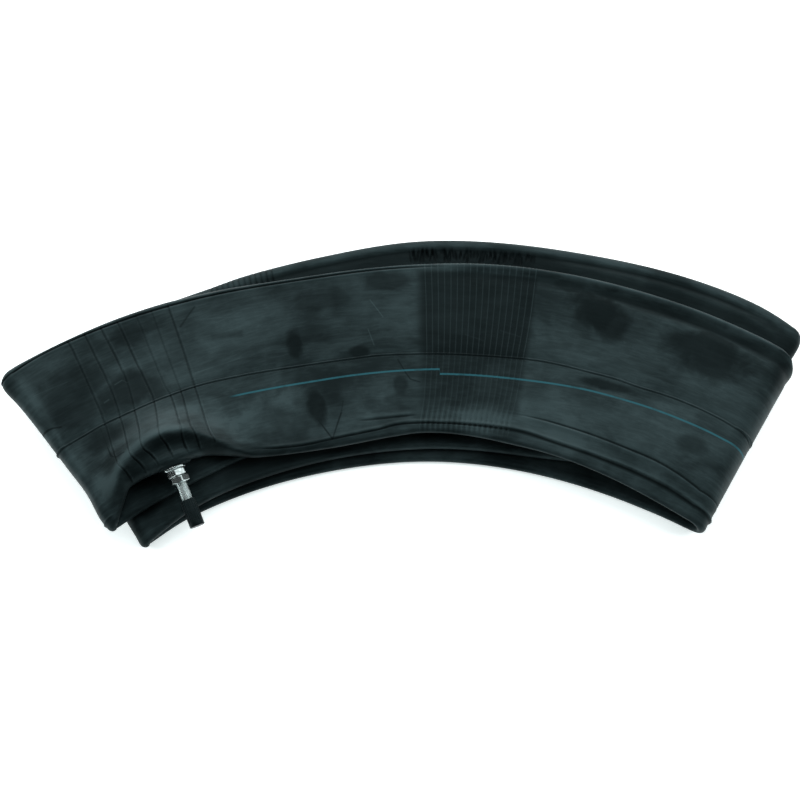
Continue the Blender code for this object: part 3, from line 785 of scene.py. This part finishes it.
def make_washer():
    """Clamp washer whose rim is cut into slanting teeth."""
    teeth = 24
    hole, hub, rim, depth, ease = 0.0042, 0.0058, 0.0068, 0.0007, 0.00025
    low, high = 0.0003, 0.0019
    slant = 2 * math.pi / teeth * 0.8

    def serrated(level, shrink):
        shift = slant * (level - low) / (high - low)

        def radius(theta):
            tooth = np.abs((((theta - shift) * teeth / (2 * math.pi)) % 1.0) * 2 - 1)
            return rim - shrink - depth * tooth ** 0.8
        return radius

    profile = [(hole, low), (hub, low), (serrated(low, ease), low)]
    profile += [(serrated(level, 0), level) for level in (low + ease, 0.0008, 0.0011, 0.0014, high - ease)]
    profile += [(serrated(high, ease), high), (hub, high), (hole, high)]
    return lathe("clamp_washer_serrated", profile, teeth * 10, True, sharp=24)


def make_nut(which):
    """Hexagon nut, both faces cut back by a 30 degree cone, with a countersunk threaded hole."""
    base = NUT_BASE[which]
    top = base + NUT_THICKNESS
    sixth = math.pi / 3
    hole, countersink = 0.0042, 0.0003
    face = NUT_FLAT_HALF - 0.00025
    corner = NUT_FLAT_HALF / math.cos(sixth / 2) - 0.00022
    slope = math.tan(math.radians(30))
    ease = 0.00012

    def outline(shrink):
        def radius(theta):
            local = (theta + sixth / 2) % sixth - sixth / 2
            return np.minimum((NUT_FLAT_HALF - shrink) / np.cos(local), corner - shrink)
        return radius

    def cone(level, direction, shrink):
        return lambda theta: level + direction * np.maximum(0, outline(shrink)(theta) - face) * slope

    profile = [
        (hole, base), (face, base), (outline(ease), cone(base, 1, ease)),
        (outline(0), cone(base + ease, 1, 0)), (outline(0), cone(top - ease, -1, 0)),
        (outline(ease), cone(top, -1, ease)), (face, top), (hole + countersink, top),
        (hole, top - countersink),
    ]
    return lathe(f"hex_nut_{which}_chamfered", profile, 144, True, sharp=22, turn=NUT_TURN[which])


def make_cap():
    """Long plastic dust cap: ribbed grip and plain rounded end band."""
    ribs = 20
    end = CAP_MOUTH + CAP_LENGTH
    band = end - 0.0030
    rib_depth = 0.00055
    root = CAP_RADIUS - rib_depth
    bore, bore_end = 0.0042, 0.0335

    def ribbed(rise):
        return lambda theta: root + rise * np.sqrt(np.abs(np.sin(theta * ribs / 2)))

    profile = [
        (0.0001, bore_end), (bore - 0.0003, bore_end), (bore, bore_end - 0.0003),
        (bore, CAP_MOUTH + 0.0003), (bore + 0.00015, CAP_MOUTH), (root - 0.0001, CAP_MOUTH),
        (ribbed(0.0002), CAP_MOUTH + 0.00025), (ribbed(rib_depth), CAP_MOUTH + 0.0008),
        (ribbed(rib_depth), band - 0.0008), (CAP_RADIUS, band), (CAP_RADIUS, end - 0.0004),
        (CAP_RADIUS - 0.0001, end - 0.0001), (CAP_RADIUS - 0.0004, end), (0.0002, end),
    ]
    return lathe("valve_cap_ribbed", profile, ribs * 10, False, sharp=40)


def make_pad():
    """Oval rubber boss round the valve's root, rising smoothly out of the lip."""
    half_width, half_height = 0.0112, 0.0062
    hole, depth = 0.0040, -0.0040

    def oval(scale):
        a, b = half_width * scale, half_height * scale
        return lambda theta: a * b / np.sqrt((b * np.cos(theta)) ** 2 + (a * np.sin(theta)) ** 2)

    shape = ((0.86, 0.0), (0.94, -0.0002), (0.985, -0.0007), (1.0, -0.0015), (1.0, -0.0034), (0.95, depth))
    profile = [(hole, 0.0), *((oval(scale), level) for scale, level in shape), (hole, depth)]
    return lathe("valve_base_boss", profile, 96, True, sharp=50)


# ---- materials

class Nodes:
    """Adds nodes to the tree of one material or world."""

    def __init__(self, owner, surface):
        owner.use_nodes = True
        self.owner = owner
        self.tree = owner.node_tree
        self.surface = self.tree.nodes[surface]

    def add(self, kind, inputs=None, **settings):
        node = self.tree.nodes.new(kind)
        for key, value in settings.items():
            setattr(node, key, value)
        for key, value in (inputs or {}).items():
            self.feed(node.inputs[key], value)
        return node

    def feed(self, socket, value):
        if isinstance(value, bpy.types.NodeSocket):
            self.tree.links.new(value, socket)
        else:
            socket.default_value = value

    def finish(self, inputs):
        """Feeds the surface's inputs, by name."""
        for name, value in inputs.items():
            self.feed(self.surface.inputs[name], value)

    def math(self, operation, a, b=0.0, c=0.0):
        return self.add("ShaderNodeMath", {0: a, 1: b, 2: c}, operation=operation).outputs[0]

    def plus(self, a, b):
        return self.math("ADD", a, b)

    def minus(self, a, b):
        return self.math("SUBTRACT", a, b)

    def times(self, a, b):
        return self.math("MULTIPLY", a, b)

    def largest(self, values):
        total = values[0]
        for value in values[1:]:
            total = self.math("MAXIMUM", total, value)
        return total

    def ramp(self, value, start, end, low=0.0, high=1.0):
        inputs = {"Value": value, "From Min": start, "From Max": end, "To Min": low, "To Max": high}
        return self.add("ShaderNodeMapRange", inputs, interpolation_type="SMOOTHSTEP").outputs["Result"]

    def noise(self, vector, scale, detail=2.0, rough=0.5, distortion=0.0):
        inputs = {"Vector": vector, "Scale": scale, "Detail": detail, "Roughness": rough,
                  "Distortion": distortion}
        return self.add("ShaderNodeTexNoise", inputs).outputs["Fac"]

    def mix(self, share, a, b):
        inputs = {"Factor": share, "A": a, "B": b}
        return self.add("ShaderNodeMix", inputs, data_type="RGBA").outputs["Result"]

    def bump(self, height, strength, distance):
        node = self.add("ShaderNodeBump", {"Height": height, "Strength": strength, "Distance": distance})
        self.finish({"Normal": node.outputs["Normal"]})

    def coordinates(self, kind):
        return self.add("ShaderNodeTexCoord").outputs[kind]

    def axes(self, vector):
        node = self.add("ShaderNodeSeparateXYZ", {"Vector": vector})
        return (node.outputs[axis] for axis in "XYZ")

    def field(self, name, output):
        return self.add("ShaderNodeAttribute", attribute_name=name).outputs[output]

    def stretch(self, x, y, across, along):
        """Coordinates for a noise drawn out along the tube."""
        scaled = {"X": self.times(x, along), "Y": self.times(y, across)}
        return self.add("ShaderNodeCombineXYZ", scaled).outputs["Vector"]


def new_material(name):
    return Nodes(bpy.data.materials.new(name), "Principled BSDF")


RUBBER_DARK = (0.0018, 0.0030, 0.0032, 1)
RUBBER = (0.0043, 0.0072, 0.0077, 1)
# Colour of dust and of painted highlights.
RUBBER_DUST_AND_HIGHLIGHT = (0.0190, 0.0300, 0.0320, 1)
SHEEN = (0.57, 0.93, 1.0, 1)
INK = (0.013, 0.064, 0.080, 1)

# Dark clean patches of the top layer: angle, radius in mm, half lengths along and across in mm, strength.
STAINS = [
    (14.2, 454, 16, 17, 0.7), (15.6, 445, 11, 11, 0.62), (24.0, 447, 25, 17, 0.62),
    (24.6, 436, 17, 10, 0.55), (-11.7, 422, 5, 9, 0.7), (-6.1, 410, 6, 4, 0.6), (-11.0, 375, 6, 12, 0.7),
    (-9.3, 384, 7, 10, 0.35), (-2.6, 384, 4, 7, 0.4), (8.0, 352, 9, 5, 0.3), (17.0, 400, 20, 3.5, 0.6),
    (-26.9, 424, 24, 12, 0.6), (-30.5, 445, 22, 14, 0.4), (-3.0, 461, 16, 7, 0.45),
    (-9.0, 452, 18, 8, 0.35), (11.5, 466, 12, 4, 0.5), (26.2, 380, 9, 6, 0.35), (-30.8, 402, 14, 9, 0.5),
    (-10.5, 424, 16, 3, 0.35), (-24.8, 462, 12, 9, 0.45), (-31.5, 428, 18, 12, 0.4),
]
# Lighter patches: dust, and painted highlights on the crest's left flank by the valve (-33.4, 371) and along
# the left-hand fold (-34.4).
DUST_AND_HIGHLIGHT_PATCHES = [
    (-23.5, 392, 26, 7, 0.7), (-5.5, 372, 18, 12, 0.5), (-16.0, 440, 30, 14, 0.25), (5.5, 362, 20, 10, 0.5),
    (-28.6, 427, 12, 5, 0.2), (-24.2, 425, 8, 8, 0.5), (14.0, 372, 35, 14, 0.45), (8.0, 430, 30, 16, 0.2),
    (-34.4, 440, 5, 28, 0.7), (-34.4, 395, 5, 22, 0.5), (-20.5, 378, 14, 10, 0.45),
    (22.0, 380, 30, 22, 0.35), (-27.8, 391, 22, 5, 0.6), (-33.4, 371, 7, 11, 1.0),
    (-12.0, 368, 22, 12, 0.5), (-15.5, 374, 28, 17, 0.95),
]
# Fine scuffs and dark marks, and creases drawn as lines of painted shade: path of (angle, radius in mm), half
# width in mm, tone (light over 0, dark under).
SCUFFS = [
    ([(-2.76, 402.6), (-2.07, 392.5), (-1.67, 388.0), (-0.77, 385.8)], 0.4, -0.5),
    ([(-4.81, 447.8), (-3.83, 434.5)], 0.35, 0.45),
    ([(-5.21, 426.3), (-4.81, 414.2)], 0.35, 0.4),
    ([(-27.58, 432.4), (-26.9, 433.3)], 0.4, 0.8),
    ([(-26.9, 433.3), (-26.56, 430.2)], 0.35, 0.45),
    ([(-29.11, 423.7), (-28.7, 424.3)], 0.5, 0.7),
    ([(-20.57, 455.3), (-18.97, 466.1)], 0.6, -0.38),
    ([(-18.16, 441.0), (-16.16, 438.4)], 2.4, -0.26),
    ([(-20.85, 419.0), (-16.79, 420.5)], 0.5, 0.20),
    ([(-19.23, 456.9), (-15.75, 450.4)], 0.5, 0.18),
    ([(-34.87, 427.6), (-33.45, 423.2)], 0.7, -0.7),
    ([(-30.6, 408.4), (-31.0, 393.1), (-31.2, 385.5), (-30.9, 381.8), (-30.1, 381.4)], 0.45, -0.6),
    ([(3.3, 421.0), (4.9, 417.5)], 0.35, 0.3),
    ([(6.3, 426.0), (8.1, 423.0)], 0.3, 0.3),
    ([(-9.98, 350.0), (-11.23, 367.5)], 0.5, -0.7),
    ([(-9.98, 350.0), (-8.68, 367.5)], 0.5, -0.6),
    ([(-8.68, 367.5), (-8.3, 376.0)], 0.4, -0.35),
    ([(-33.9, 452.0), (-31.0, 449.5)], 0.4, 0.25),
]


def patch(nodes, across, entry, soft):
    """Blob in plan coordinates, its strength inside and 0 outside; soft sets how wide its outline fades."""
    angle, radius, half_along, half_across, strength = entry
    x = nodes.times(nodes.minus(across[0], angle), math.radians(radius) / half_along)
    y = nodes.times(nodes.minus(across[1], radius), 1 / half_across)
    square = nodes.plus(nodes.times(x, x), nodes.times(y, y))
    distance = nodes.plus(nodes.math("SQRT", square), across[2])
    return nodes.ramp(distance, 1 - soft, 1 + soft, strength, 0.0)


def scuffs(nodes, across, sign):
    """Greatest tone of the scuffs of one sign."""
    tones = []
    for path, half_width, tone in SCUFFS:
        if tone * sign > 0:
            distances = [segment_distance(nodes, across, *ends) for ends in zip(path, path[1:])]
            tones += [nodes.ramp(d, 0.4 * half_width, 1.6 * half_width, abs(tone), 0.0) for d in distances]
    return nodes.largest(tones)


def segment_distance(nodes, across, start, end):
    """Distance in mm from a straight segment in plan coordinates."""
    scale = math.radians((start[1] + end[1]) / 2)
    step = Vector(((end[0] - start[0]) * scale, end[1] - start[1]))
    half = step.length / 2
    ux, uy = step.normalized()
    x = nodes.times(nodes.minus(across[0], start[0]), scale)
    y = nodes.minus(across[1], start[1])
    along = nodes.math("MULTIPLY_ADD", x, ux, nodes.times(y, uy))
    aside = nodes.math("ABSOLUTE", nodes.math("MULTIPLY_ADD", x, -uy, nodes.times(y, ux)))
    past_end = nodes.minus(nodes.math("ABSOLUTE", nodes.minus(along, half)), half)
    return nodes.math("MAXIMUM", aside, past_end)


def make_rubber(name, folded):
    """Butyl rubber: near black, faintly teal, with dust and, on the tube, with its marks, painted shade and
    highlights, and printed line.
    """
    nodes = new_material(name)
    place = nodes.coordinates("Object")
    broad = nodes.noise(place, 16, 3, 0.55, 0.4)
    medium = nodes.noise(place, 60, 4, 0.6, 0.3)
    fine = nodes.noise(place, 900, 3, 0.6)
    dust_and_highlight = nodes.plus(nodes.ramp(broad, 0.40, 0.68, 0.0, 0.42), nodes.ramp(medium, 0.42, 0.75, 0.0, 0.30))
    dark = nodes.ramp(broad, 0.46, 0.30, 0.0, 0.45)
    if folded:
        angle, radius, ink = nodes.axes(nodes.field("plan", "Vector"))
        dust_and_shade = nodes.field("dust_and_shade", "Fac")
        top = nodes.field("top", "Fac")
        dust_and_highlight, dark = add_marks(nodes, place, angle, radius, dust_and_shade, top, medium, dust_and_highlight, dark)
    dust_and_highlight = nodes.math("MAXIMUM", 0.0, nodes.math("MINIMUM", dust_and_highlight, 1.3))
    # Mixes towards the light colour used for dust and painted highlights.
    colour = nodes.mix(nodes.math("MINIMUM", dust_and_highlight, 1.0), RUBBER, RUBBER_DUST_AND_HIGHLIGHT)
    colour = nodes.mix(dark, colour, RUBBER_DARK)
    if folded:
        line = nodes.ramp(nodes.math("ABSOLUTE", ink), INK_HALF_WIDTH[1], INK_HALF_WIDTH[0])
        line = nodes.times(line, nodes.ramp(angle, *INK_START))
        line = nodes.times(line, nodes.ramp(nodes.noise(place, 140, 3, 0.7), 0.25, 0.5, 0.55, 1.0))
        colour = nodes.mix(nodes.times(line, top), colour, INK)
    level = nodes.minus(nodes.plus(0.106, nodes.times(dust_and_highlight, 0.085)), nodes.times(dark, 0.10))
    nodes.finish({
        "Base Color": colour,
        "Roughness": nodes.plus(nodes.ramp(medium, 0.3, 0.7, 0.44, 0.54), nodes.times(dark, 0.04)),
        "Specular IOR Level": nodes.math("MAXIMUM", level, 0.03),
        "Specular Tint": SHEEN,
    })
    nodes.bump(nodes.plus(nodes.times(medium, 0.6), nodes.times(fine, 0.12)), 0.35, 0.0004)
    return nodes.owner


def add_marks(nodes, place, angle, radius, dust_and_shade, top, medium, dust_and_highlight, dark):
    """The folded tube's streaks, stains, dust, scuffs, painted shade in its grooves, creases and valley, and
    painted highlights on its ridges, lips and crest, added to its lightness and its darkness.
    """
    streaks = nodes.noise(nodes.stretch(angle, radius, 0.09, 0.16), 1.0, 4, 0.6, 0.6)
    hairs = nodes.noise(nodes.stretch(angle, radius, 0.55, 0.6), 1.0, 4, 0.6, 0.8)
    dust_and_highlight = nodes.plus(dust_and_highlight, nodes.ramp(streaks, 0.38, 0.72, -0.08, 0.22))
    dust_and_highlight = nodes.plus(dust_and_highlight, nodes.ramp(hairs, 0.36, 0.70, -0.08, 0.15))
    wobble = nodes.times(nodes.minus(nodes.noise(place, 55, 4, 0.55, 0.6), 0.5), 1.7)
    across = (angle, radius, wobble)
    stains = [patch(nodes, across, entry, 0.38) for entry in STAINS]
    # Dust patches, and painted highlights on the crest's flank and along the left-hand fold.
    dust = nodes.largest([patch(nodes, across, entry, 0.55) for entry in DUST_AND_HIGHLIGHT_PATCHES])
    # The dark lines of the creases are painted shade.
    light, creases = scuffs(nodes, across, 1), scuffs(nodes, across, -1)
    # The band of fine ribs is cleaner than the rubber round it.
    band = nodes.times(nodes.ramp(angle, -1.2, -0.2), nodes.ramp(angle, 9.3, 8.5))
    for start, end, low, high in ((404, 408, 0.34, 0.62), (470, 466, 0.1, 1.0), (362, 372, 0.0, 1.0)):
        band = nodes.times(band, nodes.ramp(radius, start, end, low, high))
    # Painted shade in the grooves, creases, wrinkles and valley; it also darkens layer 2 next to the edge of
    # layer 1.
    painted_shade = nodes.times(dust_and_shade, -1.0)
    dark = nodes.largest([dark, nodes.times(nodes.largest([*stains, band, creases]), top), painted_shade])
    dust = nodes.times(nodes.times(dust, top), nodes.ramp(medium, 0.25, 0.7, 0.5, 1.0))
    dust_and_highlight = nodes.times(nodes.plus(dust_and_highlight, dust), nodes.minus(1.0, nodes.times(dark, 0.85)))
    # Painted highlights on the ridges, lips and crest, and dust; lighter bands on the lower layers.
    ridge_highlight_and_dust = nodes.math("MAXIMUM", dust_and_shade, 0.0)
    return nodes.plus(dust_and_highlight, nodes.plus(ridge_highlight_and_dust, nodes.times(light, top))), dark


def make_solid(name, grain, blend, colours, roughness, others=None, grain_bump=None):
    """Plain material whose colour, over the blend span of the noise, and roughness vary with a fine grain."""
    nodes = new_material(name)
    place = nodes.coordinates("Object")
    cloud = nodes.noise(place, grain, 3, 0.6)
    nodes.finish({
        "Base Color": nodes.mix(nodes.ramp(cloud, *blend), *colours),
        "Roughness": nodes.ramp(cloud, 0.3, 0.7, *roughness),
        **(others or {}),
    })
    if grain_bump:
        scale, strength = grain_bump
        nodes.bump(nodes.noise(place, scale, 2), strength, 0.00005)
    return nodes.owner


def make_plain(name, colours, roughness, metallic):
    return make_solid(name, 900, (0.3, 0.7), colours, (roughness, roughness + 0.1), {"Metallic": metallic})


def dress(obj, material):
    obj.data.materials.clear()
    obj.data.materials.append(material)


# ---- the object

rubber = make_rubber("butyl_rubber_folded", True)
plain_rubber = make_rubber("butyl_rubber_boss", False)
plated = make_solid("nickel_plated_metal", 700, (0.35, 0.7), ((0.66, 0.74, 0.74, 1), (0.48, 0.56, 0.56, 1)),
                    (0.14, 0.25), {"Metallic": 1.0}, (2500, 0.04))
plastic = make_solid("black_cap_plastic", 400, (0.4, 0.7),
                     ((0.0022, 0.0034, 0.0038, 1), (0.0050, 0.0070, 0.0075, 1)), (0.34, 0.44),
                     {"Specular IOR Level": 0.17, "Specular Tint": SHEEN}, (3000, 0.10))
brass = make_plain("core_brass_machined", ((0.72, 0.52, 0.22, 1), (0.60, 0.42, 0.17, 1)), 0.28, 1.0)
steel = make_plain("spring_wire", ((0.55, 0.56, 0.58, 1), (0.45, 0.46, 0.48, 1)), 0.25, 1.0)
soft = make_plain("seal_rubber_soft", ((0.010, 0.010, 0.011, 1), (0.020, 0.020, 0.022, 1)), 0.55, 0.0)

# Each piece with its material, the body it rides on, the CAD node it stands for and its material slot.
PIECES = [
    (make_tube_skin(), rubber, "tube", "tube_body", "butyl_rubber"),
    (make_pad(), plain_rubber, "tube", "valve_base_pad", "pad_rubber"),
    (make_stem(), plated, "tube", "valve_stem", "nickel_plate"),
    (make_washer(), plated, "washer", "clamp_washer", "nickel_plate"),
    (make_nut("inner"), plated, "inner_nut", "hex_nut_inner", "nickel_plate"),
    (make_nut("outer"), plated, "outer_nut", "hex_nut_outer", "nickel_plate"),
    (make_cap(), plastic, "cap", "valve_cap", "cap_plastic"),
]
for obj, material, body, node, slot_name in PIECES:
    dress(obj, material)
    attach(obj, body)
    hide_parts(node)

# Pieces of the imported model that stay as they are.
CARRIED_OVER = (
    (brass, ("core_plug", "core_barrel", "core_pin")),
    (soft, ("core_gasket", "core_seal_cup", "cap_gasket")),
    (steel, ("core_spring",)),
)
for material, names in CARRIED_OVER:
    for node in names:
        dress(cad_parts[node], material)


# ---- floor, light and camera

def make_floor():
    half = 4.0
    corners = [(-half, -half, 0), (half, -half, 0), (half, half, 0), (-half, half, 0)]
    floor = build_mesh("floor", corners, [range(4)])
    nodes = new_material("floor_white")
    nodes.finish({
        "Base Color": (0.92, 0.95, 0.95, 1),
        "Emission Color": (0.90, 1.0, 1.0, 1),
        "Emission Strength": 0.5,
        "Roughness": 0.9,
        "Specular IOR Level": 0.1,
    })
    dress(floor, nodes.owner)


def make_world():
    """Soft white surroundings: broad light overhead, a strip low behind the object and one at each side, and
    almost nothing on the camera's side."""
    world = bpy.data.worlds.new("studio")
    bpy.context.scene.world = world
    nodes = Nodes(world, "Background")
    x, y, z = nodes.axes(nodes.coordinates("Generated"))
    overhead = nodes.ramp(nodes.plus(nodes.times(z, 0.8), nodes.times(y, 0.7)), 0.36, 0.97, 0.03, 1.32)
    behind = nodes.ramp(y, 0.5, 0.95, 0.0, 1.5)
    aside = nodes.minus(nodes.math("ABSOLUTE", x), nodes.times(nodes.math("ABSOLUTE", y), 0.8))
    sides = nodes.ramp(nodes.plus(aside, nodes.times(z, 0.9)), 1.0, 1.3, 0.0, 0.62)
    strength = nodes.plus(overhead, nodes.plus(behind, sides))
    nodes.finish({"Color": (0.97, 1.0, 1.0, 1), "Strength": strength})


def make_lamp(name, place, target, size, power):
    lamp = bpy.data.lights.new(name, "AREA")
    lamp.shape = "DISK"
    lamp.size = size
    lamp.energy = power
    obj = bpy.data.objects.new(name, lamp)
    bpy.context.scene.collection.objects.link(obj)
    obj.location = place
    obj.rotation_euler = (Vector(target) - Vector(place)).to_track_quat("-Z", "Y").to_euler()
    obj.visible_glossy = False


def make_camera():
    camera = bpy.data.cameras.new("camera")
    camera.sensor_width = 36
    camera.lens = 125.55
    camera.shift_y = -0.00625
    obj = bpy.data.objects.new("camera", camera)
    bpy.context.scene.collection.objects.link(obj)
    back = CAMERA_DISTANCE * math.cos(CAMERA_ELEVATION)
    obj.location = (0, -back, CAMERA_TARGET_HEIGHT + CAMERA_DISTANCE * math.sin(CAMERA_ELEVATION))
    obj.rotation_euler = (math.pi / 2 - CAMERA_ELEVATION, 0, 0)
    bpy.context.scene.camera = obj


make_floor()
make_world()
make_lamp("softbox_top", (-0.2, 1.1, 1.5), (0, 0, 0), 1.0, 9)
make_lamp("side_fill_left", (-1.6, -0.1, 0.8), (-0.2, 0, 0), 0.8, 17)
make_lamp("side_fill_right", (1.6, -0.1, 0.8), (0.2, 0, 0), 0.8, 17)
make_camera()
bpy.context.scene.view_settings.view_transform = "Standard"
